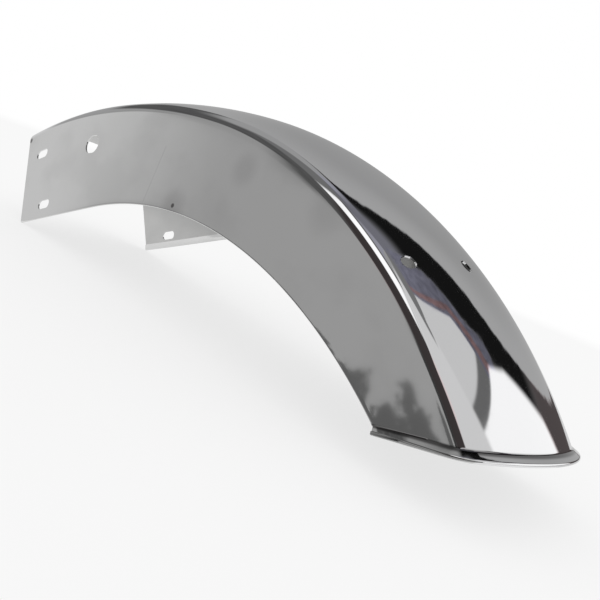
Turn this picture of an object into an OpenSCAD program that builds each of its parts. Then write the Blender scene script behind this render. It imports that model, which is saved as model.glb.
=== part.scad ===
// Rear mudguard of a motorcycle: one pressed sheet with a domed crown, two
// leaning side walls with folded inner edges, and a flared rear lip.
// +X points to the rear, +Y runs along the wheel axis to the left side and +Z points up. The
// origin is in the middle plane, halfway between the frame slots of each side wall. The arcs
// below are laid out round the wheel axis, and the finished sheet is moved to that origin.
// Sizes are in millimetres and angles in degrees.

/* [Arc round the wheel] */
// Radius from the wheel axis to the line where the side walls turn into the shoulders
shoulder_r = 340; // [325:1:360]
// Radius of that line along the flatter front stretch
front_r = 535; // [450:5:700]
// Angle that the front stretch takes up round its own centre
front_angle = 29.3; // [22:0.1:32]
// Angle from the top, round the wheel axis, at which the shoulder line meets the rear lip
rear_angle = 46.4; // [40:0.1:52]

/* [Section] */
// Width over the side walls at the shoulder line
wall_w = 128; // [110:1:150]
// Outward lean of each side wall towards its inner edge
wall_lean = 4.3; // [1:0.1:7]
// Height of the crown above the shoulder line
crown_rise = 21; // [17:0.5:28]
// Outside radius of the shoulder bend
shoulder_bend = 10; // [6:0.5:12]
// Thickness of the sheet
sheet_t = 1.2; // [0.8:0.1:2]

/* [Inner edge] */
// Depth of the side wall below the shoulder line, at the top of the inner edge
wall_depth = 65.5; // [50:0.5:72]
// Radius of the inner edge
inner_r = 335.5; // [300:0.5:360]
// Distance that the inner edge's centre sits behind the wheel axis
inner_back = 23; // [10:1:30]
// Slope of the straight that ends the inner edge in front
inner_front_slope = 23.5; // [18:0.5:28]
// Slope of the straight that ends the inner edge at the rear
inner_rear_slope = 36; // [30:0.5:40]
// Width of the edge that is folded back against the inside
hem_w = 6; // [3:0.5:9]

/* [Ends] */
// Lean of the front edge from the upright
front_edge_lean = 33.4; // [26:0.1:40]
// Slope of the rear edge, rising to the rear
rear_edge_slope = 15.3; // [5:0.1:22]
// Drop of the rear lip below its bend
lip_drop = 5; // [3:0.5:9]
// Distance that the rear lip flares outwards
lip_flare = 3.6; // [2:0.1:6]
// Thickness of the rounded bead along the rear lip
lip_bead = 2.6; // [2.5:0.1:4]

/* [Side holes] */
// Width of the two frame slots in each side wall
slot_w = 8; // [6:0.5:10]
// Length of the frame slots over their round ends
slot_len = 18; // [12:0.5:20]
// Distance of the upper slot back from the front edge
upper_slot_back = 26; // [20:0.5:36]
// Distance of the upper slot down the front edge from the shoulder line
upper_slot_drop = 24; // [18:0.5:32]
// Distance of the lower slot back from the front edge
lower_slot_back = 38; // [30:0.5:44]
// Distance of the lower slot down the front edge from the shoulder line
lower_slot_drop = 78; // [68:0.5:80]
// Width of the cable hole in each side wall
cable_hole_w = 15.5; // [10:0.5:18]
// Length of the cable hole over its round ends
cable_hole_len = 19; // [18.5:0.5:24]
// Distance of the cable hole back from the front edge
cable_hole_back = 108; // [90:1:130]
// Distance of the cable hole down the front edge from the shoulder line
cable_hole_drop = 45.5; // [36:0.5:56]

/* [Crown holes] */
// Diameter of the holes across the crown
crown_hole_d = 9; // [6:0.5:12]
// Distance between the two outer holes
crown_hole_pitch = 100; // [80:1:100]
// Angle of the row of holes from the top, round the wheel axis
crown_hole_angle = 30.2; // [20:0.1:38]

/* [Hidden] */

// Number of flats for the large arcs and for the small ones
arc_fn = 180;
small_fn = 48;
// Overlap that joins neighbouring solids
lap = 0.1;

// Section, as [radius, distance from the middle plane]
half_w = wall_w / 2;
crown_top_r = shoulder_r + crown_rise;
bend_c = [shoulder_r - shoulder_bend * sin(wall_lean), half_w - shoulder_bend * cos(wall_lean)];
bend_drop = crown_top_r - bend_c[0];
crown_r = (pow(bend_c[1], 2) + pow(bend_drop, 2) - pow(shoulder_bend, 2))
    / (2 * (bend_drop - shoulder_bend));
crown_c_r = crown_top_r - crown_r;
crown_half_angle = atan2(bend_c[1], bend_c[0] - crown_c_r);

// Side view, as [x, z]
front_lift = front_r - shoulder_r;
inner_c = [inner_back, shoulder_r - wall_depth - inner_r];
front_top = [-front_r * sin(front_angle), front_r * cos(front_angle) - front_lift];
rear_top = shoulder_r * [sin(rear_angle), cos(rear_angle)];
front_down = [sin(front_edge_lean), -cos(front_edge_lean)];
front_back = [cos(front_edge_lean), sin(front_edge_lean)];
rear_back = [cos(rear_edge_slope), sin(rear_edge_slope)];
rear_down = [sin(rear_edge_slope), -cos(rear_edge_slope)];

// A place on the side view, given back from the front edge and down it from the shoulder line
function side_place(back, drop) = front_top + back * front_back + drop * front_down;

// Halfway between the two frame slots of a side wall
slots_middle = (side_place(upper_slot_back, upper_slot_drop)
    + side_place(lower_slot_back, lower_slot_drop)) / 2;

// Reach of the solids that are cut back to the outline
low_r = shoulder_r - 1.5 * wall_depth;
reach = 2 * shoulder_r;
end_spare = 20;

// Where the rear bend line meets the inner edge, as a radius from the wheel axis
rear_inner_n = [sin(inner_rear_slope), cos(inner_rear_slope)];
rear_run = (inner_r - (rear_top - inner_c) * rear_inner_n) / (rear_back * rear_inner_n);
rear_inner_r = norm(rear_top + rear_run * rear_back);
// Distance of the rear bend plane from the wheel axis
rear_plane_d = -(rear_top * rear_down);

// Number of flats along the inner edge
inner_steps = 30;
// Number of flats round half of the crown, round each shoulder and down each wall at the lip
crown_steps = 12;
bend_steps = 8;
wall_steps = 2;

// One place on the section: [radius, distance from the middle], then the normal there
function arc_place(centre, r, a) = [centre + r * [cos(a), sin(a)], [cos(a), sin(a)]];

// Half of the section's outside, from the middle of the crown to a radius down the wall
wall_n = [sin(wall_lean), cos(wall_lean)];
wall_start = bend_c + shoulder_bend * wall_n;
function wall_place(r) = [[r, wall_start[1] + (wall_start[0] - r) * tan(wall_lean)], wall_n];
function half_outside(end_r, steps) = concat(
    [for (i = [0 : crown_steps])
        arc_place([crown_c_r, 0], crown_r, crown_half_angle * i / crown_steps)],
    [for (i = [1 : bend_steps])
        let (turn = (90 - wall_lean - crown_half_angle) * i / bend_steps)
            arc_place(bend_c, shoulder_bend, crown_half_angle + turn)],
    [for (i = [1 : steps])
        wall_place(wall_start[0] + (end_r - wall_start[0]) * i / steps)]
);

// The whole outside, from one wall to the other
function mirrored(places) = [for (p = places) [for (v = p) [v[0], -v[1]]]];
function backwards(list) = [for (i = [len(list) - 1 : -1 : 0]) list[i]];
function outside(end_r, steps) =
    let (half = half_outside(end_r, steps))
        concat(backwards(half), [for (i = [1 : len(half) - 1]) mirrored(half)[i]]);

// The section between two insets from its outside, moved outwards by a lift
module section_layer(near, far, lift) {
    places = outside(low_r, 1);
    polygon([for (p = concat([for (p = places) p[0] - near * p[1]],
        [for (p = backwards(places)) p[0] - far * p[1]])) p + [lift, 0]]);
}

// A layer of the section swept forwards from the top, round a centre below the wheel axis
module swept_forwards(near, far, lift, angle) {
    translate([0, 0, -lift]) rotate([90, 0, 0]) rotate([0, 0, 90])
        rotate_extrude(angle = angle, $fn = arc_fn) section_layer(near, far, lift);
}

// A layer of the section swept over the whole length, past both ends
module swept_layer(near, far) {
    swept_forwards(near, far, front_lift, front_angle + end_spare);
    mirror([1, 0, 0]) swept_forwards(near, far, 0, rear_angle + end_spare);
}

// Side view of the space inside the inner edge, grown outwards: a straight, an arc and a straight
module inside_outline(grow) {
    r = inner_r + grow;
    turn = inner_front_slope + inner_rear_slope;
    arc = [for (i = [0 : inner_steps])
        let (a = turn * i / inner_steps - inner_front_slope) r * [sin(a), cos(a)]];
    front_run = reach * [-cos(inner_front_slope), -sin(inner_front_slope)];
    rear_run_out = reach * [cos(inner_rear_slope), -sin(inner_rear_slope)];
    translate(inner_c)
        polygon(concat([arc[0] + front_run], arc, [arc[inner_steps] + rear_run_out], [[0, -reach]]));
}

// Side view of everything behind the front edge and above the rear bend
module between_ends() {
    intersection() {
        translate(front_top) rotate(front_edge_lean) translate([0, -reach]) square(2 * reach);
        translate(rear_top) rotate(rear_edge_slope) translate([-reach, 0]) square(2 * reach);
    }
}

// A side view carried right across the mudguard
module across() {
    rotate([90, 0, 0]) linear_extrude(height = 2 * wall_w, center = true) children();
}

// The pressed channel, cut to its ends and its inner edge
module channel() {
    intersection() {
        swept_layer(0, sheet_t);
        across() difference() {
            between_ends();
            inside_outline(0);
        }
    }
}

// The strip of each inner edge that is folded back against the inside
module hem() {
    intersection() {
        swept_layer(sheet_t - lap, 2 * sheet_t);
        across() intersection() {
            between_ends();
            difference() {
                inside_outline(hem_w);
                inside_outline(0);
            }
        }
    }
}

// Outside of the section down to the rear inner corners, one place for each ring of the lip
rear_places = backwards(outside(rear_inner_r + sheet_t, wall_steps));
rear_outline = [for (i = [0 : 2 : len(rear_places) - 1]) on_rear_plane(rear_places[i][0])];

// A point of the section, set in space where it crosses the rear bend plane
function on_rear_plane(p) = let (a = acos(rear_plane_d / p[0]) - rear_edge_slope)
    [p[0] * sin(a), p[1], p[0] * cos(a)];
function unit(v) = v / norm(v);

// Cross-section of the lip, as [distance outwards, drop below the bend]: a root that is sunk in
// the sheet, the flare and the bead
bead_steps = 6;
bead_neck = asin(sheet_t / lip_bead);
flare = unit([lip_flare, lip_drop]);
flare_n = [flare[1], -flare[0]];
lip_section = concat(
    [[-0.4, -0.6] * sheet_t, [0.35, 0.1] * sheet_t],
    [for (k = [0 : bead_steps]) let (a = bead_neck + (360 - 2 * bead_neck) * k / bead_steps)
        [lip_flare, lip_drop] + lip_bead / 2 * (sin(a) * flare_n - cos(a) * flare)],
    [[-0.8, 0.3] * sheet_t, [-0.65, -0.6] * sheet_t]
);

// That cross-section, set in space square to the rear edge
plane_down = [rear_down[0], 0, rear_down[1]];
function lip_ring(i) =
    let (
        last = len(rear_outline) - 1,
        along = unit(rear_outline[min(i + 1, last)] - rear_outline[max(i - 1, 0)]),
        out = unit(cross(plane_down, along))
    )
    [for (v = lip_section) rear_outline[i] + v[0] * out + v[1] * plane_down];

// The flared lip that follows the whole rear edge and ends in a round bead
module lip() {
    rings = [for (i = [0 : len(rear_outline) - 1]) lip_ring(i)];
    count = len(lip_section);
    sides = [for (i = [0 : len(rings) - 2]) for (k = [0 : count - 1])
        let (a = i * count + k, b = i * count + (k + 1) % count)
            each [[a, b + count, b], [a, a + count, b + count]]];
    cap = concat([for (k = [3 : bead_steps + 1]) [2, k, k + 1]],
        [for (k = [0, 1]) each [[k, k + 1, count - 2 - k], [k, count - 2 - k, count - 1 - k]]]);
    final = [for (f = cap) [for (k = [2, 1, 0]) f[k] + (len(rings) - 1) * count]];
    polyhedron([for (ring = rings) for (q = ring) q], concat(sides, cap, final), convexity = 10);
}

// A hole with round ends across both side walls, at a place in the front edge's frame
module side_slot(back, drop, width, length) {
    at = side_place(back, drop);
    straight = length - width;
    slope = atan2(-at[0], at[1] + front_lift);
    across() translate(at) rotate(slope) {
        square([straight, width], center = true);
        for (end = [-1, 1]) translate([end * straight / 2, 0]) circle(d = width, $fn = small_fn);
    }
}

// The row of holes punched square to the crown's middle line
module crown_holes() {
    for (y = [-1, 0, 1] * crown_hole_pitch / 2)
        rotate([0, crown_hole_angle, 0]) translate([0, y, crown_c_r])
            cylinder(d = crown_hole_d, h = 2 * crown_r, $fn = small_fn);
}

module mudguard() {
    color("silver") translate([-slots_middle[0], 0, -slots_middle[1]]) difference() {
        union() {
            channel();
            hem();
            lip();
        }
        side_slot(upper_slot_back, upper_slot_drop, slot_w, slot_len);
        side_slot(lower_slot_back, lower_slot_drop, slot_w, slot_len);
        side_slot(cable_hole_back, cable_hole_drop, cable_hole_w, cable_hole_len);
        crown_holes();
    }
}

mudguard();
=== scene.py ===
import logging
import math
from dataclasses import dataclass, field
from enum import Enum
from typing import Callable, Sequence, Union

import bmesh
import bpy
from mathutils import Matrix, Vector


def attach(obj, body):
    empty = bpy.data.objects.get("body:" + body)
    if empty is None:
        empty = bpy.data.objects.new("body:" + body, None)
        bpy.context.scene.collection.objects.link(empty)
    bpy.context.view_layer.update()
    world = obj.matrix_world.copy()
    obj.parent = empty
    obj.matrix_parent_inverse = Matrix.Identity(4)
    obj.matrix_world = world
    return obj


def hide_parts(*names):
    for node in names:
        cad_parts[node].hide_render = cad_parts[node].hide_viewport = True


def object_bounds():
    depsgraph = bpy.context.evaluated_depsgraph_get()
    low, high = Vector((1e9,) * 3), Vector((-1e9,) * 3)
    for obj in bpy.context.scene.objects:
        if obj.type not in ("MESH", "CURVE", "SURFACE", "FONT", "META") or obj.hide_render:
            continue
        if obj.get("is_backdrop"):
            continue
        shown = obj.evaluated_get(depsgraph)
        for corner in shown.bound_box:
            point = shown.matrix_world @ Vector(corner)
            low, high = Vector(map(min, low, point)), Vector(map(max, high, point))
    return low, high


logging.basicConfig(level=logging.INFO, format="%(message)s")
log = logging.getLogger("mudguard")

MM = 0.001

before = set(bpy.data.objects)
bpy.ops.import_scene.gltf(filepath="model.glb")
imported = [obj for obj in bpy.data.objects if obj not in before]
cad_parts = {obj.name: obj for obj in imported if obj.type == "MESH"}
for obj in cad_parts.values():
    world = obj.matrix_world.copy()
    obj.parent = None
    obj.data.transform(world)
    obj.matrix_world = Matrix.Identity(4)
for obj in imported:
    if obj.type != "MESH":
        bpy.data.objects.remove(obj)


class Side(Enum):
    """The two side walls, by the sign of their Y."""

    RIGHT = -1
    LEFT = 1


@dataclass(frozen=True)
class SheetSizes:
    """Sizes of the pressed sheet in millimetres and degrees.

    They are the part's own, but for a lip that hangs 1.2 mm less far down.
    """

    shoulder_r: float = 340.0
    front_r: float = 535.0
    front_angle: float = 29.3
    rear_angle: float = 46.4
    wall_w: float = 128.0
    wall_lean: float = 4.3
    crown_rise: float = 21.0
    shoulder_bend: float = 10.0
    sheet_t: float = 1.2
    wall_depth: float = 65.5
    inner_r: float = 335.5
    inner_back: float = 23.0
    inner_front_slope: float = 23.5
    inner_rear_slope: float = 36.0
    hem_w: float = 6.0
    front_edge_lean: float = 33.4
    rear_edge_slope: float = 15.3
    lip_drop: float = 3.8
    lip_flare: float = 3.6
    lip_bead: float = 2.6
    slot_w: float = 8.0
    slot_len: float = 18.0
    upper_slot: tuple[float, float] = (26.0, 24.0)
    lower_slot: tuple[float, float] = (38.0, 78.0)
    cable_hole_w: float = 15.5
    cable_hole_len: float = 19.0
    cable_hole: tuple[float, float] = (108.0, 45.5)
    crown_hole_d: float = 9.0
    crown_hole_pitch: float = 100.0
    crown_hole_angle: float = 30.2


@dataclass(frozen=True)
class SectionPlace:
    """One place across the section.

    It has a radius, a distance from the middle plane, and on a wall a share of the way down.
    """

    radius: float
    across: float
    down: float = 0.0


class Press:
    """The die that the flat blank is pressed over: it says where each point of the sheet goes."""

    SETTLING = 12  # rounds until a wall point and its way along the arc agree

    def __init__(self, sizes: SheetSizes) -> None:
        """Works out the section and the side view from the sizes.

        Args:
            sizes: the sheet's sizes.
        """
        s = self.sizes = sizes
        lean = math.radians(s.wall_lean)
        self.lean = lean
        self.bend_c = (
            s.shoulder_r - s.shoulder_bend * math.sin(lean),
            s.wall_w / 2 - s.shoulder_bend * math.cos(lean),
        )
        drop = s.shoulder_r + s.crown_rise - self.bend_c[0]
        self.crown_r = (self.bend_c[1] ** 2 + drop**2 - s.shoulder_bend**2) / (
            2 * (drop - s.shoulder_bend)
        )
        self.crown_c = s.shoulder_r + s.crown_rise - self.crown_r
        self.crown_half = math.atan2(self.bend_c[1], self.bend_c[0] - self.crown_c)
        self.wall_top = self.bend_c[0] + s.shoulder_bend * math.sin(lean)
        self.lift = s.front_r - s.shoulder_r
        a = math.radians(s.front_angle)
        self.front_top = Vector(
            (-s.front_r * math.sin(a), s.front_r * math.cos(a) - self.lift)
        )
        f = math.radians(s.front_edge_lean)
        self.front_down = Vector((math.sin(f), -math.cos(f)))
        self.front_back = Vector((math.cos(f), math.sin(f)))
        self.rear_slope = math.radians(s.rear_edge_slope)
        self.rear_d = s.shoulder_r * math.cos(
            math.radians(s.rear_angle) + self.rear_slope
        )
        self.inner_c = Vector((s.inner_back, s.shoulder_r - s.wall_depth - s.inner_r))
        self.origin = (self.on_side(*s.upper_slot) + self.on_side(*s.lower_slot)) / 2

    def on_side(self, back: float, drop: float) -> Vector:
        """Finds a place on the side view from the front edge.

        Args:
            back: distance back from the front edge.
            drop: distance down the front edge from the shoulder line.

        Returns:
            The place as (x, z) round the wheel axis.
        """
        return self.front_top + back * self.front_back + drop * self.front_down

    def place(self, turn: float, radius: float, across: float) -> Vector:
        """Sets a point of the section in space.

        Args:
            turn: way along the arc in radians, negative along the flatter front stretch.
            radius: radius from the wheel axis.
            across: signed distance from the middle plane.

        Returns:
            The point in millimetres, round the wheel axis.
        """
        if turn >= 0:
            return Vector((radius * math.sin(turn), across, radius * math.cos(turn)))
        a = -turn * self.sizes.shoulder_r / self.sizes.front_r
        r = radius + self.lift
        return Vector((-r * math.sin(a), across, r * math.cos(a) - self.lift))

    def front_turn(self, radius: float) -> float:
        """Gives the way along the arc at which a radius meets the front edge.

        Args:
            radius: radius from the wheel axis.

        Returns:
            The way along the arc in radians.
        """
        c = self.front_top + Vector((0.0, self.lift))
        r = radius + self.lift
        half = c.dot(self.front_down)
        reach = math.sqrt(half * half - c.dot(c) + r * r)
        p = c - (half + reach) * self.front_down
        if p.x > 0 or p.y < 0:
            p = c - (half - reach) * self.front_down
        return -math.atan2(-p.x, p.y) * self.sizes.front_r / self.sizes.shoulder_r

    def rear_turn(self, radius: float) -> float:
        """Gives the way along the arc at which a radius meets the rear bend.

        Args:
            radius: radius from the wheel axis.

        Returns:
            The way along the arc in radians.
        """
        return math.acos(self.rear_d / radius) - self.rear_slope

    def inner_radius(self, turn: float, grow: float) -> float:
        """Finds the inner edge below one place along the arc.

        Args:
            turn: way along the arc.
            grow: distance that the edge is moved outwards.

        Returns:
            The inner edge's radius from the wheel axis.
        """
        s = self.sizes
        r = s.inner_r + grow
        if turn >= 0:
            base, ray = Vector((0.0, 0.0)), Vector((math.sin(turn), math.cos(turn)))
            less = 0.0
        else:
            a = -turn * s.shoulder_r / s.front_r
            base, ray = Vector((0.0, -self.lift)), Vector((-math.sin(a), math.cos(a)))
            less = self.lift
        rel = base - self.inner_c
        half = rel.dot(ray)
        run = -half + math.sqrt(half * half - rel.dot(rel) + r * r)
        hit = rel + run * ray
        at = math.degrees(math.atan2(hit.x, hit.y))
        for limit, beyond in ((-s.inner_front_slope, at < -s.inner_front_slope),
                              (s.inner_rear_slope, at > s.inner_rear_slope)):
            if beyond:
                n = Vector((math.sin(math.radians(limit)), math.cos(math.radians(limit))))
                run = (r - rel.dot(n)) / ray.dot(n)
        return run - less

    def wall_across(self, radius: float) -> float:
        """Gives a side wall's distance from the middle plane.

        Args:
            radius: radius from the wheel axis.

        Returns:
            The distance in millimetres.
        """
        return self.sizes.wall_w / 2 + (self.wall_top - radius) * math.tan(self.lean)

    def half_section(self, crown: int, bend: int, wall: int) -> list[SectionPlace]:
        """Divides half of the section, from the crown's middle to the inner edge.

        Args:
            crown: steps over half of the crown.
            bend: steps round the shoulder.
            wall: steps down the side wall.

        Returns:
            The places in order.
        """
        places = []
        for i in range(crown + 1):
            a = self.crown_half * i / crown
            places.append(SectionPlace(
                self.crown_c + self.crown_r * math.cos(a), self.crown_r * math.sin(a)))
        turn = math.pi / 2 - self.lean - self.crown_half
        for i in range(1, bend + 1):
            a = self.crown_half + turn * i / bend
            places.append(SectionPlace(
                self.bend_c[0] + self.sizes.shoulder_bend * math.cos(a),
                self.bend_c[1] + self.sizes.shoulder_bend * math.sin(a)))
        places += [SectionPlace(0.0, 0.0, i / wall) for i in range(1, wall + 1)]
        return places

    def formed(self, share: float, place: SectionPlace, side: int, grow: float) -> Vector:
        """Gives where one point of the blank goes.

        Args:
            share: share of the way from the front edge to the rear bend.
            place: the place across the section.
            side: -1 on the right, 1 on the left.
            grow: room left for the fold below the side walls.

        Returns:
            The point in millimetres, round the wheel axis.
        """
        radius, across = place.radius, place.across
        if not place.down:
            turn = self.between(share, radius)
            return self.place(turn, radius, side * across)
        radius = self.wall_top
        for _ in range(self.SETTLING):
            turn = self.between(share, radius)
            radius = self.wall_top + (self.inner_radius(turn, grow) - self.wall_top) * place.down
        return self.place(turn, radius, side * self.wall_across(radius))

    def between(self, share: float, radius: float) -> float:
        """Gives the way along the arc at a share of the length.

        Args:
            share: share of the way from the front edge to the rear bend.
            radius: radius from the wheel axis.

        Returns:
            The way along the arc in radians.
        """
        front, rear = self.front_turn(radius), self.rear_turn(radius)
        return front + (rear - front) * share


@dataclass
class Outline:
    """A hole's straight-sided outline: a point and an outward normal for each side."""

    sides: list[tuple[Vector, Vector]]
    centre: Vector
    axis: Vector
    reach: float

    @classmethod
    def stadium(cls, centre: Vector, axis: Vector, lengthwise: Vector,
                width: float, length: float, steps: int) -> "Outline":
        """Makes a hole with round ends, or a round one where both sizes are equal.

        Args:
            centre: the hole's middle.
            axis: the direction that it is punched in.
            lengthwise: the direction of its long side.
            width: its width.
            length: its length over the round ends.
            steps: sides round each end.

        Returns:
            The outline.
        """
        crosswise = axis.cross(lengthwise).normalized()
        sides = []
        for end in (1, -1):
            middle = centre + lengthwise * end * (length - width) / 2
            for i in range(steps):
                a = -math.pi / 2 + math.pi * (i + 0.5) / steps
                n = (lengthwise * math.cos(a) + crosswise * math.sin(a)) * end
                sides.append((middle + n * width / 2, n))
        for n in (crosswise, -crosswise):
            sides.append((centre + n * width / 2, n))
        return cls(sides, centre, axis, length / 2 + 4)


class Mudguard:
    """The pressed and plated sheet, from the flat blank to the finished mesh."""

    COLUMNS = 180  # steps from the front edge to the rear bend
    CROWN_STEPS, BEND_STEPS, WALL_STEPS = 22, 9, 22
    FOLD_ROOM = 0.2  # how far the fold stays inside the part's edge
    FOLD_STEPS = 7
    LIP_STEPS = 14
    LIP_TURN = 290.0  # degrees that the bead is rolled
    LIP_ROOT = 0.9  # length of the lip's first row, which keeps the bend crisp
    WALL_FLARE = 0.12  # share of the flare that is left at the inner corners
    SLOT_STEPS, ROUND_STEPS = 10, 12  # sides round each end of a hole
    SOFT_EDGE = 0.25

    def __init__(self, sizes: SheetSizes) -> None:
        """Sets up the press.

        Args:
            sizes: the sheet's sizes.
        """
        self.sizes = sizes
        self.press = Press(sizes)
        self.fold_r = sizes.sheet_t + 0.1
        half = self.press.half_section(self.CROWN_STEPS, self.BEND_STEPS, self.WALL_STEPS)
        self.section = [(p, Side.RIGHT.value) for p in reversed(half)]
        self.section += [(p, Side.LEFT.value) for p in half[1:]]
        self.bm = bmesh.new()

    def shares(self) -> list[float]:
        """Spaces the columns evenly, with two close ones at the rear bend.

        Returns:
            The columns' shares of the way from the front edge to the rear bend.
        """
        even = [i / (self.COLUMNS - 2) for i in range(self.COLUMNS - 1)]
        last = 1 - 0.9 / 550
        return even[:-1] + [last - 1.1 / 550, last, 1.0]

    def blank(self) -> None:
        """Cuts the flat blank and presses it to its arched section."""
        rows, shares = len(self.section) - 1, self.shares()
        columns = len(shares) - 1
        bmesh.ops.create_grid(self.bm, x_segments=columns, y_segments=rows, size=1.0)
        self.front, self.rear = [], [None] * (rows + 1)
        self.hems = {Side.RIGHT: [None] * (columns + 1), Side.LEFT: [None] * (columns + 1)}
        for v in self.bm.verts:
            i = round((v.co.x + 1) / 2 * columns)
            j = round((v.co.y + 1) / 2 * rows)
            place, side = self.section[j]
            v.co = self.press.formed(shares[i], place, side, self.fold_r + self.FOLD_ROOM)
            if i == columns:
                self.rear[j] = v
            if j == 0:
                self.hems[Side.RIGHT][i] = v
            if j == rows:
                self.hems[Side.LEFT][i] = v
        bmesh.ops.recalc_face_normals(self.bm, faces=self.bm.faces)
        top = max(self.bm.faces, key=lambda f: f.calc_center_median().z)
        if top.normal.z < 0:
            bmesh.ops.reverse_faces(self.bm, faces=self.bm.faces)

    def grow_edge(self, chain: list, move: Callable[[int], Vector]) -> list:
        """Extrudes a chain of edge vertices by one step.

        Args:
            chain: the vertices in order.
            move: gives the new place of a vertex from its number in the chain.

        Returns:
            The new chain in the same order.
        """
        numbers = {tuple(v.co): i for i, v in enumerate(chain)}
        edges = [self.bm.edges.get((a, b)) for a, b in zip(chain, chain[1:])]
        made = bmesh.ops.extrude_edge_only(self.bm, edges=edges)["geom"]
        new = [None] * len(chain)
        for v in made:
            if isinstance(v, bmesh.types.BMVert):
                new[numbers[tuple(v.co)]] = v
        for i, v in enumerate(new):
            v.co = move(i)
        return new

    @staticmethod
    def along(chain: list, i: int) -> Vector:
        """Gives the direction of a chain at one of its vertices.

        Args:
            chain: the vertices in order.
            i: the vertex's number.

        Returns:
            The direction as a unit vector.
        """
        return (chain[min(i + 1, len(chain) - 1)].co - chain[max(i - 1, 0)].co).normalized()

    def fold_hems(self) -> None:
        """Folds the inner edges back against the inside of the side walls."""
        r = self.fold_r
        for side, chain in self.hems.items():
            starts = [v.co.copy() for v in chain]
            outs = [self.wall_normal(co, side) for co in starts]
            downs = [self.along(chain, i).cross(out).normalized() for i, out in enumerate(outs)]
            downs = [-down if down.z > 0 else down for down in downs]
            for k in range(1, self.FOLD_STEPS + 1):
                a = math.pi * k / self.FOLD_STEPS
                chain = self.grow_edge(chain, lambda i: starts[i]
                                       + r * (math.cos(a) - 1) * outs[i]
                                       + r * math.sin(a) * downs[i])
            for back in (0.5, 1.0):
                run = (self.sizes.hem_w - r) * back
                chain = self.grow_edge(chain, lambda i: starts[i]
                                       - 2 * r * outs[i] - run * downs[i])

    def wall_normal(self, point: Vector, side: Side) -> Vector:
        """Gives a side wall's outward normal.

        Args:
            point: a point on the wall, round the wheel axis.
            side: which wall.

        Returns:
            The normal.
        """
        lift = self.press.lift if point.x < 0 else 0.0
        ray = Vector((point.x, 0, point.z + lift)).normalized()
        lean = self.press.lean
        return ray * math.sin(lean) + Vector((0, side.value, 0)) * math.cos(lean)

    def flare_lip(self) -> None:
        """Bends the rear edge outwards and rolls its end under."""
        s, slope = self.sizes, self.press.rear_slope
        down = Vector((math.sin(slope), 0, -math.cos(slope)))
        rearward = Vector((math.cos(slope), 0, math.sin(slope)))
        starts, outs = [], []
        for i, v in enumerate(self.rear):
            out = down.cross(self.along(self.rear, i)).normalized()
            on_wall = abs(out.y) >= 0.9
            if (out.y * v.co.y if on_wall else out.dot(rearward)) < 0:
                out = -out
            starts.append(v.co.copy())
            outs.append(out)
        bead_r = s.lip_bead / 2
        far = math.hypot(s.lip_flare, s.lip_drop)
        lean = math.atan2(s.lip_flare, s.lip_drop) + math.asin(bead_r / far)
        run = math.sqrt(far * far - bead_r * bead_r)
        path = [(math.sin(lean) * d, math.cos(lean) * d) for d in (self.LIP_ROOT, run * 0.5, run)]
        for k in range(1, self.LIP_STEPS + 1):
            a = -lean + math.radians(self.LIP_TURN) * k / self.LIP_STEPS
            path.append((s.lip_flare + bead_r * math.cos(a), s.lip_drop + bead_r * math.sin(a)))
        shares = [self.WALL_FLARE + (1 - self.WALL_FLARE) * min(1.0, 1.15 * (1 - place.down))
                  for place, _ in self.section]
        ring = self.rear
        for flare, drop in path:
            ring = self.grow_edge(
                ring, lambda i: starts[i] + flare * shares[i] * outs[i] + drop * down)

    def punch(self, outline: Outline, keep: Callable[[Vector], bool]) -> None:
        """Punches one hole: the outline's sides are cut one by one, and what is left inside goes.

        Args:
            outline: the hole.
            keep: says whether a face centre belongs to the wall that is punched.
        """
        def off_axis(p: Vector) -> float:
            """Distance of a point from the hole's axis."""
            rel = p - outline.centre
            return (rel - outline.axis * rel.dot(outline.axis)).length

        region = [f for f in self.bm.faces if keep(f.calc_center_median())
                  and off_axis(f.calc_center_median()) < outline.reach]
        for co, no in outline.sides:
            geom = list({v for f in region for v in f.verts}) \
                + list({e for f in region for e in f.edges}) + region
            cut = bmesh.ops.bisect_plane(self.bm, geom=geom, dist=1e-5,
                                         plane_co=co, plane_no=no)["geom"]
            region = [f for f in cut if isinstance(f, bmesh.types.BMFace)
                      and (f.calc_center_median() - co).dot(no) < 0]
        bmesh.ops.delete(self.bm, geom=region, context="FACES")

    def punch_all(self) -> None:
        """Punches the frame slots, the cable holes and the row of crown holes."""
        s, press = self.sizes, self.press
        sideways = Vector((0, 1, 0))
        for (back, drop), width, length in (
            (s.upper_slot, s.slot_w, s.slot_len),
            (s.lower_slot, s.slot_w, s.slot_len),
            (s.cable_hole, s.cable_hole_w, s.cable_hole_len),
        ):
            at = press.on_side(back, drop)
            ray = Vector((at.x, 0, at.y + press.lift)).normalized()
            lengthwise = Vector((ray.z, 0, -ray.x))
            hole = Outline.stadium(Vector((at.x, 0, at.y)), sideways, lengthwise,
                                   width, length, self.SLOT_STEPS)
            for side in Side:
                self.punch(hole, lambda p, side=side: p.y * side.value > s.wall_w / 2 - 1)
        a = math.radians(s.crown_hole_angle)
        ray = Vector((math.sin(a), 0, math.cos(a)))
        for y in (-1, 0, 1):
            centre = ray * s.shoulder_r + sideways * y * s.crown_hole_pitch / 2
            hole = Outline.stadium(centre, ray, sideways, s.crown_hole_d, s.crown_hole_d,
                                   self.ROUND_STEPS)
            self.punch(hole, lambda p: p.dot(ray) > s.shoulder_r)

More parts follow.
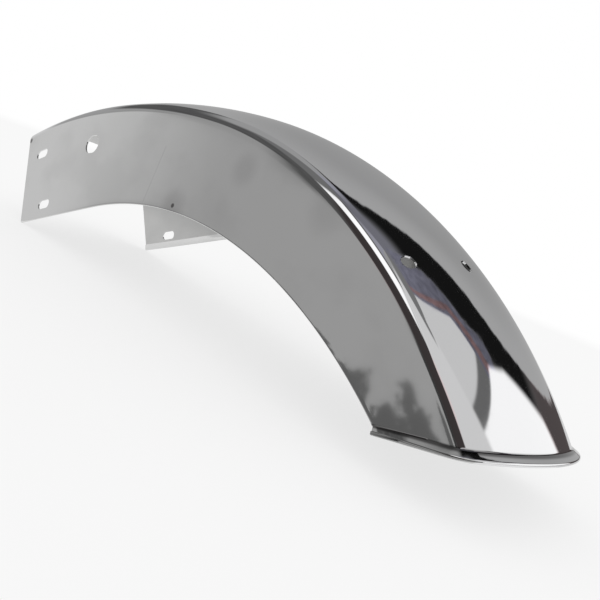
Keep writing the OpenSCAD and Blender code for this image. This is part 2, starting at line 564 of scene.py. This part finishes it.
    def finish(self) -> bpy.types.Object:
        """Moves the sheet to the part's origin and gives it its thickness.

        Returns:
            The finished object, at the origin, unturned and unscaled.
        """
        origin = Vector((self.press.origin.x, 0, self.press.origin.y))
        bmesh.ops.remove_doubles(self.bm, verts=self.bm.verts, dist=1e-4)
        bmesh.ops.translate(self.bm, verts=self.bm.verts, vec=-origin)
        bmesh.ops.scale(self.bm, verts=self.bm.verts, vec=(MM, MM, MM))
        mesh = bpy.data.meshes.new("mudguard_sheet")
        self.bm.to_mesh(mesh)
        self.bm.free()
        mesh.shade_smooth()
        sheet = bpy.data.objects.new("mudguard_sheet", mesh)
        bpy.context.scene.collection.objects.link(sheet)
        wall = sheet.modifiers.new("thickness", "SOLIDIFY")
        wall.thickness = self.sizes.sheet_t * MM
        wall.offset = -1
        wall.material_offset = 1
        edge = sheet.modifiers.new("edges", "BEVEL")
        edge.width = self.SOFT_EDGE * MM
        edge.segments = 2
        edge.limit_method = "ANGLE"
        edge.angle_limit = math.radians(50)
        even = sheet.modifiers.new("even_shading", "WEIGHTED_NORMAL")
        even.weight = 100
        mesh.materials.append(None)
        mesh.materials.append(None)
        graph = bpy.context.evaluated_depsgraph_get()
        done = bpy.data.meshes.new_from_object(sheet.evaluated_get(graph))
        piece = bpy.data.objects.new("chromed_sheet", done)
        bpy.context.scene.collection.objects.link(piece)
        bpy.data.objects.remove(sheet)
        return piece

    def build(self) -> bpy.types.Object:
        """Makes the sheet in the order of the real one.

        Returns:
            The finished object.
        """
        self.blank()
        self.fold_hems()
        self.flare_lip()
        self.punch_all()
        return self.finish()


Number = Union[float, "Socket"]


class Socket:
    """A node's output with arithmetic: each operator adds a Math node."""

    def __init__(self, shader: "Shader", output: bpy.types.NodeSocket) -> None:
        """Wraps an output of a shader's node tree."""
        self.shader = shader
        self.output = output

    def _math(self, operation: str, *values: Number) -> "Socket":
        """Adds a Math node on the given values."""
        return self.shader.node("ShaderNodeMath", {"operation": operation},
                                dict(enumerate(values)))

    def __add__(self, other: Number) -> "Socket":
        """Adds."""
        return self._math("ADD", self, other)

    __radd__ = __add__

    def __sub__(self, other: Number) -> "Socket":
        """Subtracts."""
        return self._math("SUBTRACT", self, other)

    def __rsub__(self, other: Number) -> "Socket":
        """Subtracts from a number."""
        return self._math("SUBTRACT", other, self)

    def __mul__(self, other: Number) -> "Socket":
        """Multiplies."""
        return self._math("MULTIPLY", self, other)

    __rmul__ = __mul__

    def magnitude(self) -> "Socket":
        """Drops the sign."""
        return self._math("ABSOLUTE", self)

    def least(self, other: Number) -> "Socket":
        """Takes the lesser."""
        return self._math("MINIMUM", self, other)

    def greatest(self, other: Number) -> "Socket":
        """Takes the greater."""
        return self._math("MAXIMUM", self, other)

    def arc(self, other: Number) -> "Socket":
        """Gives the angle of (other, self), in degrees."""
        return self._math("ARCTAN2", self, other) * math.degrees(1)

    def arc_sine(self) -> "Socket":
        """Gives the arc sine, in degrees."""
        return self._math("ARCSINE", self) * math.degrees(1)

    def root(self) -> "Socket":
        """Takes the square root."""
        return self._math("SQRT", self)

    def within(self, low: float, high: float, soft: float) -> "Socket":
        """Gives 1 between two values and 0 beyond, with soft edges of that half width."""
        return self.step(low - soft, low + soft) * (1.0 - self.step(high - soft, high + soft))

    def step(self, low: float, high: float) -> "Socket":
        """Rises smoothly from 0 at low to 1 at high."""
        return self.shader.node(
            "ShaderNodeMapRange", {"interpolation_type": "SMOOTHSTEP"},
            {"Value": self, "From Min": low, "From Max": high, "To Min": 0.0, "To Max": 1.0})


class Shader:
    """A material's or the world's node tree, emptied and ready to build."""

    def __init__(self, owner: Union[bpy.types.Material, bpy.types.World]) -> None:
        """Empties the owner's tree.

        Args:
            owner: the material or the world.
        """
        owner.use_nodes = True
        self.tree = owner.node_tree
        self.tree.nodes.clear()

    def node(self, kind: str, settings: dict, inputs: dict, output: Union[int, str] = 0) -> Socket:
        """Adds a node.

        Args:
            kind: the node's type.
            settings: its properties, set first.
            inputs: values or sockets by input name or number.
            output: the output that is wrapped.

        Returns:
            The wrapped output.
        """
        made = self.tree.nodes.new(kind)
        for name, value in settings.items():
            setattr(made, name, value)
        for name, value in inputs.items():
            if isinstance(value, Socket):
                self.tree.links.new(value.output, made.inputs[name])
            else:
                made.inputs[name].default_value = value
        out = made.outputs[output] if len(made.outputs) else None
        return Socket(self, out)

    def position(self) -> Socket:
        """Object coordinates."""
        return self.node("ShaderNodeTexCoord", {}, {}, "Object")

    def axis(self, name: str) -> Socket:
        """Reads one of the object coordinates.

        Args:
            name: its letter.

        Returns:
            The coordinate.
        """
        return self.node("ShaderNodeSeparateXYZ", {}, {0: self.position()}, name)

    def noise(self, scale: float, detail: float = 3.0, stretch: Sequence[float] = (1, 1, 1),
              roughness: float = 0.5) -> Socket:
        """Adds noise on object coordinates.

        Args:
            scale: how fine it is.
            detail: how many finer layers it has.
            stretch: factors for the three coordinates.
            roughness: how strong the finer layers are.

        Returns:
            The noise, from 0 to 1.
        """
        mapped = self.node("ShaderNodeMapping", {}, {"Vector": self.position(), "Scale": stretch})
        return self.node("ShaderNodeTexNoise", {},
                         {"Vector": mapped, "Scale": scale, "Detail": detail,
                          "Roughness": roughness}, "Fac")

    def tint(self, mask: Number, low: Union[Sequence[float], Socket],
             high: Union[Sequence[float], Socket]) -> Socket:
        """Mixes two colours.

        Args:
            mask: 0 gives the first colour and 1 the second.
            low: the first colour.
            high: the second colour.

        Returns:
            The mixed colour.
        """
        made = self.tree.nodes.new("ShaderNodeMix")
        made.data_type = "RGBA"
        for name, value in (("Factor", mask), ("A", low), ("B", high)):
            socket = next(s for s in made.inputs if s.name == name and s.enabled)
            if isinstance(value, Socket):
                self.tree.links.new(value.output, socket)
            else:
                socket.default_value = value
        return Socket(self, next(s for s in made.outputs if s.enabled))

    def bump(self, height: Socket, distance: float, strength: float) -> Socket:
        """Turns a height into a normal.

        Args:
            height: the height.
            distance: what a height of 1 stands for, in metres.
            strength: share of the effect.

        Returns:
            The normal.
        """
        return self.node("ShaderNodeBump", {},
                         {"Height": height, "Distance": distance, "Strength": strength})

    def metal(self, colour: Socket, roughness: Socket, normal: Socket) -> None:
        """Ends the tree in a metal surface.

        Args:
            colour: the base colour.
            roughness: the roughness.
            normal: the normal.
        """
        surface = self.node("ShaderNodeBsdfPrincipled", {},
                            {"Base Color": colour, "Roughness": roughness, "Metallic": 1.0,
                             "Normal": normal})
        self.node("ShaderNodeOutputMaterial", {}, {"Surface": surface})

    def glow(self, level: Union[float, Socket], colour: Union[Sequence[float], Socket]) -> None:
        """Ends the tree in a surface that shines by itself.

        Args:
            level: how bright it is.
            colour: its colour.
        """
        surface = self.node("ShaderNodeEmission", {}, {"Color": colour, "Strength": level})
        self.node("ShaderNodeOutputMaterial", {}, {"Surface": surface})


def rgba(r: float, g: float, b: float) -> tuple[float, float, float, float]:
    """Makes an opaque colour."""
    return (r, g, b, 1.0)


@dataclass(frozen=True)
class Spot:
    """A round mark on the near wall: its place by X and Z, and the radii of its core and rim."""

    x: float
    z: float
    core: float
    rim: float

    def mask(self, x: Socket, z: Socket) -> Socket:
        """Gives 1 inside the core and 0 beyond the rim.

        Args:
            x: the X coordinate.
            z: the Z coordinate.

        Returns:
            The mask.
        """
        dx, dz = x - self.x, z - self.z
        return 1.0 - (dx * dx + dz * dz).root().step(self.core, self.rim)


WHEEL_X, WHEEL_Z = 0.20703, 0.24660  # how far the wheel axis lies behind and below the origin


@dataclass(frozen=True)
class ChromePlate:
    """Bright chrome outside: clear on the crown, softer and a little brushed on the walls."""

    name: str = "chrome_plate"
    bright: tuple = rgba(0.80, 0.80, 0.81)
    soft: tuple = rgba(0.72, 0.72, 0.715)
    # dark colour for real specks and mottle, and for painted shade in the bend, the crease and
    # round the dent
    stain_and_shade: tuple = rgba(0.05, 0.045, 0.045)
    crown_roughness: float = 0.045
    wall_roughness: float = 0.065
    wall_from: float = 0.0632
    wall_to: float = 0.0640
    near_from: float = -0.0600
    speck: Spot = Spot(0.1967, 0.0307, 0.0008, 0.0022)
    corner: Spot = Spot(-0.0526, 0.0252, 0.0012, 0.0034)
    dimple: Spot = Spot(0.1967, 0.0307, 0.0, 0.012)
    # soft darker patches on the near wall: painted shade round the dent's dark spot, and two darker
    # blots
    shade_and_blot_hazes: tuple[tuple[Spot, float], ...] = (
        (Spot(0.1967, 0.0307, 0.002, 0.018), 0.50),
        (Spot(0.2516, 0.0720, 0.003, 0.016), 0.35),
        (Spot(0.3306, 0.0669, 0.004, 0.020), 0.30),
    )
    crease: tuple = ((0.1616, 0.0679), (0.1617, 0.0229))
    rear_d: float = 0.16119
    rear_slope: float = 15.3

    def crease_shade_mask(self, x: Socket, z: Socket) -> Socket:
        """Marks the painted shade along the thin crease across the near wall.

        Args:
            x: the X coordinate.
            z: the Z coordinate.

        Returns:
            The mask.
        """
        (ax, az), (bx, bz) = self.crease
        long = math.hypot(bx - ax, bz - az)
        side = ((x - ax) * (bz - az) - (z - az) * (bx - ax)) * (1 / long)
        # painted shade along the crease line
        ends = (z - (az + bz) / 2).magnitude().step(long * 0.46, long * 0.52)
        return (1.0 - side.magnitude().step(0.0002, 0.0007)) * (1.0 - ends)

    def bend_shade_and_dirt_mask(self, x: Socket, z: Socket) -> Socket:
        """Marks the dark line in the bend above the lip: painted shade and reflection in the
        concave bend, partly polish residue.

        Args:
            x: the X coordinate.
            z: the Z coordinate.

        Returns:
            The mask.
        """
        slope = math.radians(self.rear_slope)
        below = self.rear_d - (z + WHEEL_Z) * math.cos(slope) + (x - WHEEL_X) * math.sin(slope)
        # painted shade in the concave bend above the lip, partly polish residue
        return 1.0 - (below - 0.0004).magnitude().step(0.0003, 0.0014)

    def material(self) -> bpy.types.Material:
        """Builds the material.

        Returns:
            The new material.
        """
        material = bpy.data.materials.new(self.name)
        sh = Shader(material)
        x, y, z = (sh.axis(name) for name in "XYZ")
        near = 1.0 - y.step(-self.wall_from, self.near_from)
        wall = y.magnitude().step(self.wall_from, self.wall_to)
        cloudy = sh.noise(22.0, 4.0)
        smudge = sh.noise(60.0, 6.0, roughness=0.65).step(0.52, 0.72)
        mottle = sh.noise(13.0, 3.0, (1.0, 1.0, 1.4)).step(0.46, 0.66) * wall
        marks = (self.speck.mask(x, z) + self.corner.mask(x, z)) * near
        shade_and_blot_haze = sum((spot.mask(x, z) * share for spot, share in self.shade_and_blot_hazes), 0.0) * near
        # darkening: specks, corner mark and mottle are real marks; the bend line, crease line and
        # the halo round the dent are painted shade
        dark = (marks * 0.8 + self.bend_shade_and_dirt_mask(x, z) * 0.75 + self.crease_shade_mask(x, z) * near * 0.10
                + shade_and_blot_haze * 0.36 + mottle * 0.08).least(0.85)
        colour = sh.tint((cloudy * 0.35 + wall * 0.65).least(1.0), self.bright, self.soft)
        colour = sh.tint(dark, colour, self.stain_and_shade)
        rough = (self.crown_roughness + wall * (self.wall_roughness - self.crown_roughness)
                 + smudge * 0.04 + (cloudy - 0.5) * 0.05 * wall + shade_and_blot_haze * 0.05)
        ripple = (sh.noise(9.0, 1.5) + sh.noise(45.0, 2.0) * 0.08
                  - self.dimple.mask(x, z) * near * 0.25)
        sh.metal(colour, rough, sh.bump(ripple, 0.0004, 0.35))
        return material


@dataclass(frozen=True)
class InnerPlate:
    """The inside of the sheet: thinly plated, duller, and with painted shade under the rear of the
    crown.
    """

    name: str = "inner_plate"
    light: tuple = rgba(0.62, 0.62, 0.61)
    dark: tuple = rgba(0.46, 0.46, 0.46)
    shade: tuple = rgba(0.06, 0.06, 0.06)
    roughness: float = 0.30

    def material(self) -> bpy.types.Material:
        """Builds the material.

        Returns:
            The new material.
        """
        material = bpy.data.materials.new(self.name)
        sh = Shader(material)
        cloudy = sh.noise(18.0, 5.0)
        brushed = sh.noise(30.0, 4.0, (1.0, 14.0, 1.0))
        x, z = sh.axis("X") - WHEEL_X, sh.axis("Z") + WHEEL_Z
        # painted shade inside, under the rear of the crown
        shade_under_crown = (x * x + z * z).root().step(0.300, 0.318) * x.step(0.098, 0.114)
        colour = sh.tint(cloudy * 0.6 + brushed * 0.4, self.light, self.dark)
        colour = sh.tint(shade_under_crown, colour, self.shade)
        rough = self.roughness + (brushed - 0.5) * 0.12
        sh.metal(colour, rough, sh.bump(brushed, 0.0002, 0.3))
        return material


WHITE = rgba(1, 1, 1)


@dataclass
class Studio:
    """The floor, the soft light, what the chrome mirrors and the camera.

    Directions are given in degrees from the tent's middle: azimuth from +Y towards +X, and
    height above the horizon. The camera's place counts from the wheel's axis.
    """

    floor_z: float
    origin: Vector
    centre: Vector = field(default_factory=lambda: Vector((0.2, 0.0, 0.03)))
    tent_r: float = 8.0
    mat_from: float = 0.072
    mat_to: float = 7.9
    lens: float = 40.986
    lens_shift: tuple[float, float] = (0.00377, -0.0492)
    camera_at: tuple[float, float, float] = (0.3810, -0.3551, 0.3200)
    camera_right: tuple[float, float, float] = (0.6657, 0.6571, 0.3535)
    camera_down: tuple[float, float, float] = (0.3346, 0.1605, -0.9286)
    camera_ahead: tuple[float, float, float] = (-0.6670, 0.7365, -0.1130)

    def outward(self, sh: Shader) -> Socket:
        """Reads the direction of a point of the tent from its middle, as a unit vector."""
        rel = sh.node("ShaderNodeVectorMath", {"operation": "SUBTRACT"},
                      {0: sh.position(), 1: self.centre})
        return sh.node("ShaderNodeVectorMath", {"operation": "NORMALIZE"}, {0: rel})

    def off(self, sh: Shader, azimuth: float, height: float) -> Socket:
        """Measures the angle of a point of the tent from one direction.

        Args:
            sh: the tent's shader.
            azimuth: the direction's azimuth.
            height: its height.

        Returns:
            The angle in degrees.
        """
        a, e = math.radians(azimuth), math.radians(height)
        way = (math.sin(a) * math.cos(e), math.cos(a) * math.cos(e), math.sin(e))
        dot = sh.node("ShaderNodeVectorMath", {"operation": "DOT_PRODUCT"},
                      {0: self.outward(sh), 1: way}, "Value")
        return 90.0 - dot.arc_sine()

    def tent(self) -> None:
        """Hangs the grey tent with its soft boxes and dark gaps, which only the chrome mirrors."""
        bm = bmesh.new()
        bmesh.ops.create_uvsphere(bm, u_segments=64, v_segments=32, radius=self.tent_r)
        bmesh.ops.translate(bm, verts=bm.verts, vec=self.centre)
        bmesh.ops.reverse_faces(bm, faces=bm.faces)
        material = bpy.data.materials.new("tent_cloth")
        sh = Shader(material)
        sh.glow(*self.tent_light(sh))
        self.mirrored_only(self.link("tent", bm, material))

    def tent_light(self, sh: Shader) -> tuple[Socket, Socket]:
        """Sets how bright the tent is and in which colour.

        Args:
            sh: the tent's shader.

        Returns:
            The level and the colour.
        """
        x, y, z = (sh.node("ShaderNodeSeparateXYZ", {}, {0: self.outward(sh)}, n) for n in "XYZ")
        az, el = x.arc(y), z.arc_sine()
        back = az.magnitude()
        wave = (sh.noise(1.1, 3.0) - 0.5) * 9.0
        ragged = (sh.noise(3.4, 5.0, roughness=0.6) - 0.5) * 8.0

        # The large grey cloth ahead, with a dent in its upper edge.
        dent = (1.0 - self.off(sh, -8.0, 50.0).step(2.0, 24.0)) * 6.0
        cloth = self.off(sh, -30.0, 29.0) + dent + ragged * 0.3
        disc = 1.0 - cloth.step(33.7, 34.7)

        # Azimuths of three borders: black to navy, navy to the light panel, and the white box.
        seam = (20.0 - (el - 52.0).greatest(0.0) * 1.2 + (45.0 - el).greatest(0.0) * 2.0
                + ragged * 0.9)
        hem = 26.0 + (el - 58.0).magnitude() * 0.7
        corner = 13.5 + (el - 20.0).greatest(0.0) * 0.42 + (el - 38.0).greatest(0.0) * 0.65

        # The dark gaps round the cloth.
        upper = (el + az * 0.25).step(20.0, 30.0)
        past_seam = (az - seam).step(-1.5, 1.5)
        black = (1.0 - past_seam) * upper * (1.0 - cloth.step(43.0, 49.0))
        navy = past_seam * (1.0 - (az - hem).step(-1.0, 1.0)) * el.within(40.0, 76.0, 3.0)
        red = (az - hem + ragged * 0.4).within(-6.5, -2.4, 0.8) * navy
        top = (el - black * 2.0).step(63.0, 69.0)
        brown = (1.0 - upper) * az.within(-16.0, 17.0, 2.0)
        edge = back.step(146.0, 152.0) * el.within(6.5, 38.0, 1.5)
        gap = az.within(30.0, 60.0, 1.5) * el.within(45.3, 50.2, 0.6)

        # The soft boxes and the lighter panels.
        white = ((az - corner).step(-0.8, 2.4) * (1.0 - az.step(80.0, 84.0))
                 * el.within(4.0, 45.3, 0.6))
        panel = ((az - hem).step(-0.8, 0.8) * (1.0 - az.step(75.0, 79.0))
                 * el.within(50.2, 72.0, 0.6))
        far_panel = az.within(60.0, 168.0, 1.5) * (el + (168.0 - az) * 0.1).within(34.0, 76.0, 2.0)
        behind = ((1.0 - az.step(-146.0, -140.0) + az.step(162.0, 178.0))
                  * el.within(39.5, 60.0, 1.5))
        front_high = az.within(-112.0, -62.0, 6.0) * el.within(36.0, 74.0, 4.0)
        front_low = az.within(-136.0, -60.0, 4.0) * el.within(4.0, 18.5, 2.0)
        front_dark = az.within(-141.0, -112.0, 3.0) * el.within(40.0, 75.0, 3.0)

        level = 0.10 + (sh.noise(2.2, 4.0) - 0.5) * 0.10
        for mask, strength in (
            (top, 0.20 + back.step(140.0, 160.0) * 0.16),
            (black * (1.0 - top), 0.008),
            (navy, 0.02 + sh.noise(4.0, 5.0, roughness=0.6) * 0.24 + el.step(58.0, 72.0) * 0.06),
            (brown, 0.075),
            (edge, 0.045),
            (disc, 0.345 + cloth.step(14.0, 35.0) * 0.08),
            (white, 1.14),
            (gap, 0.15),
            (panel, 0.66),
            (far_panel, 0.72),
            (behind, 1.25),
            (front_high, 0.36),
            (front_low, 0.37),
            (front_dark, 0.18),
        ):
            level = level + (strength - level) * mask
        low = (1.0 - (el + wave * 0.5).step(6.5, 9.5)) * (1.0 - az.step(-62.0, -52.0))
        horizon = 0.05 + (az + wave).step(-164.0, -154.0) * 0.36 + az.step(-132.0, -112.0) * 0.27
        level = level + (horizon - level) * low

        plain = (1.0 - disc) * (1.0 - white)
        violet = navy.greatest(top * (1.0 - az.step(20.0, 40.0)) * 0.6)
        colour = sh.tint(violet * plain, WHITE, rgba(0.88, 0.88, 1.12))
        colour = sh.tint(red * plain, colour, rgba(1.25, 0.80, 0.82))
        colour = sh.tint(brown.greatest(edge) * plain, colour, rgba(1.12, 0.96, 0.96))
        return level, colour

    def mats(self) -> None:
        """Lays a grey mat beside each wall, which only the chrome mirrors, one dark at the rear."""
        bm = bmesh.new()
        for side in Side:
            half = bmesh.ops.create_grid(bm, x_segments=1, y_segments=1, size=1.0)["verts"]
            bmesh.ops.scale(bm, verts=half,
                            vec=(self.mat_to, (self.mat_to - self.mat_from) / 2, 1.0))
            bmesh.ops.translate(bm, verts=half, vec=(
                0, side.value * (self.mat_to + self.mat_from) / 2, self.floor_z + MM))
        material = bpy.data.materials.new("mat_cloth")
        sh = Shader(material)
        x, y = sh.axis("X"), sh.axis("Y")
        across, along = x * 0.88 - y * 0.48, x * 0.48 + y * 0.88
        way = sh.node("ShaderNodeCombineXYZ", {}, {0: across * 42.0, 1: along * 2.5})
        teeth = sh.node("ShaderNodeTexNoise", {}, {"Vector": way, "Scale": 1.0, "Detail": 4.0,
                                                   "Roughness": 0.6}, "Fac")
        patch = ((along + (teeth - 0.5) * 1.7).step(-0.20, -0.15) * x.step(0.06, 0.14)
                 * (1.0 - y.step(-0.02, 0.02)))
        back = (x - self.centre.x).arc(y).magnitude()
        sh.glow(0.68 - back.step(112.0, 132.0) * 0.27 - patch * 0.27, WHITE)
        self.mirrored_only(self.link("mat", bm, material))

    def floor(self) -> None:
        """Lays a pale floor that turns into the white background with distance."""
        bm = bmesh.new()
        bmesh.ops.create_grid(bm, x_segments=1, y_segments=1, size=30.0)
        bmesh.ops.translate(bm, verts=bm.verts, vec=(0, 0, self.floor_z))
        material = bpy.data.materials.new("pale_floor")
        sh = Shader(material)
        away = sh.node("ShaderNodeVectorMath", {"operation": "LENGTH"}, {0: sh.position()}, "Value")
        dull = sh.node("ShaderNodeBsdfDiffuse", {}, {"Color": rgba(0.93, 0.93, 0.93)})
        glow = sh.node("ShaderNodeEmission", {}, {"Color": WHITE, "Strength": 1.0})
        white = (self.seen(sh) * 0.72).greatest(away.step(0.5, 2.0))
        mixed = sh.node("ShaderNodeMixShader", {}, {0: white, 1: dull, 2: glow})
        sh.node("ShaderNodeOutputMaterial", {}, {"Surface": mixed})
        self.link("floor", bm, material)

    @staticmethod
    def seen(sh: Shader) -> Socket:
        """Tells what the camera sees, straight or by way of metal or glass, from the rest.

        Args:
            sh: the shader that asks.

        Returns:
            1 for what is seen, and else 0.
        """
        path = sh.tree.nodes.new("ShaderNodeLightPath")
        rays = [Socket(sh, path.outputs[name]) for name in
                ("Is Camera Ray", "Is Glossy Ray", "Is Transmission Ray")]
        return (rays[0] + rays[1] + rays[2]).least(1.0)

    @staticmethod
    def mirrored_only(obj: bpy.types.Object) -> None:
        """Hides a stage object from everything but glossy rays."""
        obj.visible_camera = obj.visible_diffuse = obj.visible_shadow = False

    def link(self, name: str, bm: bmesh.types.BMesh, material: bpy.types.Material
             ) -> bpy.types.Object:
        """Turns a bmesh into a stage object.

        Args:
            name: the object's name.
            bm: the mesh, freed here.
            material: its material.

        Returns:
            The object.
        """
        mesh = bpy.data.meshes.new(name)
        bm.to_mesh(mesh)
        bm.free()
        mesh.materials.append(material)
        obj = bpy.data.objects.new(name, mesh)
        bpy.context.scene.collection.objects.link(obj)
        obj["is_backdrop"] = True
        return obj

    def world(self) -> None:
        """Gives plain soft light from all round, and a white background."""
        world = bpy.data.worlds.new("soft_light")
        bpy.context.scene.world = world
        sh = Shader(world)
        strength = 0.85 + self.seen(sh) * 0.15
        back = sh.node("ShaderNodeBackground", {}, {"Color": WHITE, "Strength": strength})
        sh.node("ShaderNodeOutputWorld", {}, {"Surface": back})

    def camera(self) -> None:
        """Sets the camera at the photograph's angle."""
        data = bpy.data.cameras.new("camera")
        data.lens = self.lens
        data.sensor_width = 36.0
        data.shift_x, data.shift_y = self.lens_shift
        data.clip_start, data.clip_end = 0.01, 100.0
        cam = bpy.data.objects.new("camera", data)
        turn = Matrix((Vector(self.camera_right), -Vector(self.camera_down),
                       -Vector(self.camera_ahead))).transposed()
        place = Vector(self.camera_at) - self.origin
        cam.matrix_world = Matrix.Translation(place) @ turn.to_quaternion().to_matrix().to_4x4()
        bpy.context.scene.collection.objects.link(cam)
        bpy.context.scene.camera = cam

    def build(self) -> None:
        """Builds the whole studio."""
        self.floor()
        self.tent()
        self.mats()
        self.world()
        self.camera()
        bpy.context.scene.view_settings.view_transform = "Standard"


def main() -> None:
    """Builds the mudguard and the studio round it, and reports each piece."""
    cad_low, cad_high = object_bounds()
    guard = Mudguard(SheetSizes())
    origin = Vector((guard.press.origin.x, 0, guard.press.origin.y)) * MM
    sheet = guard.build()
    sheet.data.materials[0] = ChromePlate().material()
    sheet.data.materials[1] = InnerPlate().material()
    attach(sheet, "root")
    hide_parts("mudguard")
    log.info("%s: %d faces", sheet.name, len(sheet.data.polygons))
    Studio(floor_z=cad_low.z, origin=origin).build()
    log.info("studio built")
    log.info("CAD %s %s", tuple(cad_low), tuple(cad_high))


if __name__ == "__main__":
    main()
